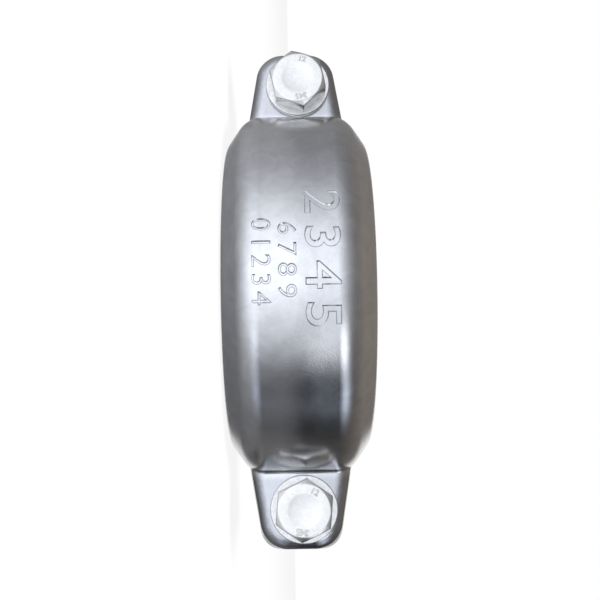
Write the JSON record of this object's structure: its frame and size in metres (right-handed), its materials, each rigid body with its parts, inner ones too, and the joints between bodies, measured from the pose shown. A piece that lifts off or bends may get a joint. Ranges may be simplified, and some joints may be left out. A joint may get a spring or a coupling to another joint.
{
  "type": "pipe clamp coupling",
  "caption": "Pressed stainless clamp coupling that joins grooved pipe ends: split drawn housings round a rubber seal, drawn together by hex bolts through flat ears.",
  "frame": {"origin": "middle of the pipe bore, on the parting plane of the two housings", "axes": "+Z along the pipe, +X from one bolt to the other, +Y along the bolts from their heads to their nuts"},
  "size_m": [0.156, 0.1106, 0.0424],
  "materials": {
    "housing": "satin, bead blasted pressed sheet",
    "seal": "matt moulded rubber",
    "bolt": "bright cold formed",
    "washer": "bright stamped",
    "lock_washer": "satin",
    "nut": "bright cold formed"
  },
  "bodies": {
    "front": {"front_housing": "housing", "seal_ring": "seal", "left_head_washer": "washer", "right_head_washer": "washer"},
    "rear": {"rear_housing": "housing"},
    "left_bolt": {"left_bolt": "bolt"},
    "left_washers": {"left_nut_washer": "washer", "left_lock_washer": "lock_washer"},
    "left_nut": {"left_nut": "nut"},
    "right_bolt": {"right_bolt": "bolt"},
    "right_washers": {"right_nut_washer": "washer", "right_lock_washer": "lock_washer"},
    "right_nut": {"right_nut": "nut"}
  },
  "joints": [
    {"name": "rear_slide", "type": "slide", "parent": "front", "child": "rear", "axis": [0, 1, 0], "range_m": [0, 0.01]},
    {"name": "left_bolt_turn", "type": "hinge", "parent": "front", "child": "left_bolt", "pos_m": [-0.0656, 0, 0.00075], "axis": [0, 1, 0], "continuous": true},
    {"name": "left_washers_follow", "type": "slide", "parent": "left_bolt", "child": "left_washers", "axis": [0, 1, 0], "range_m": [0, 0.01]},
    {"name": "left_nut_turn", "type": "hinge", "parent": "left_washers", "child": "left_nut", "pos_m": [-0.0656, 0, 0.00075], "axis": [0, 1, 0], "range_deg": [0, 2401]},
    {"name": "right_bolt_turn", "type": "hinge", "parent": "front", "child": "right_bolt", "pos_m": [0.0656, 0, 0.00075], "axis": [0, 1, 0], "continuous": true},
    {"name": "right_washers_follow", "type": "slide", "parent": "right_bolt", "child": "right_washers", "axis": [0, 1, 0], "range_m": [0, 0.01]},
    {"name": "right_nut_turn", "type": "hinge", "parent": "right_washers", "child": "right_nut", "pos_m": [0.0656, 0, 0.00075], "axis": [0, 1, 0], "range_deg": [0, 2401]}
  ],
  "couplings": [
    {"joint": "left_washers_follow", "follows": "rear_slide", "ratio": 1},
    {"joint": "left_nut_turn", "follows": "rear_slide", "rad_per_m": 4188.8},
    {"joint": "right_washers_follow", "follows": "rear_slide", "ratio": 1},
    {"joint": "right_nut_turn", "follows": "rear_slide", "rad_per_m": 4188.8}
  ]
}
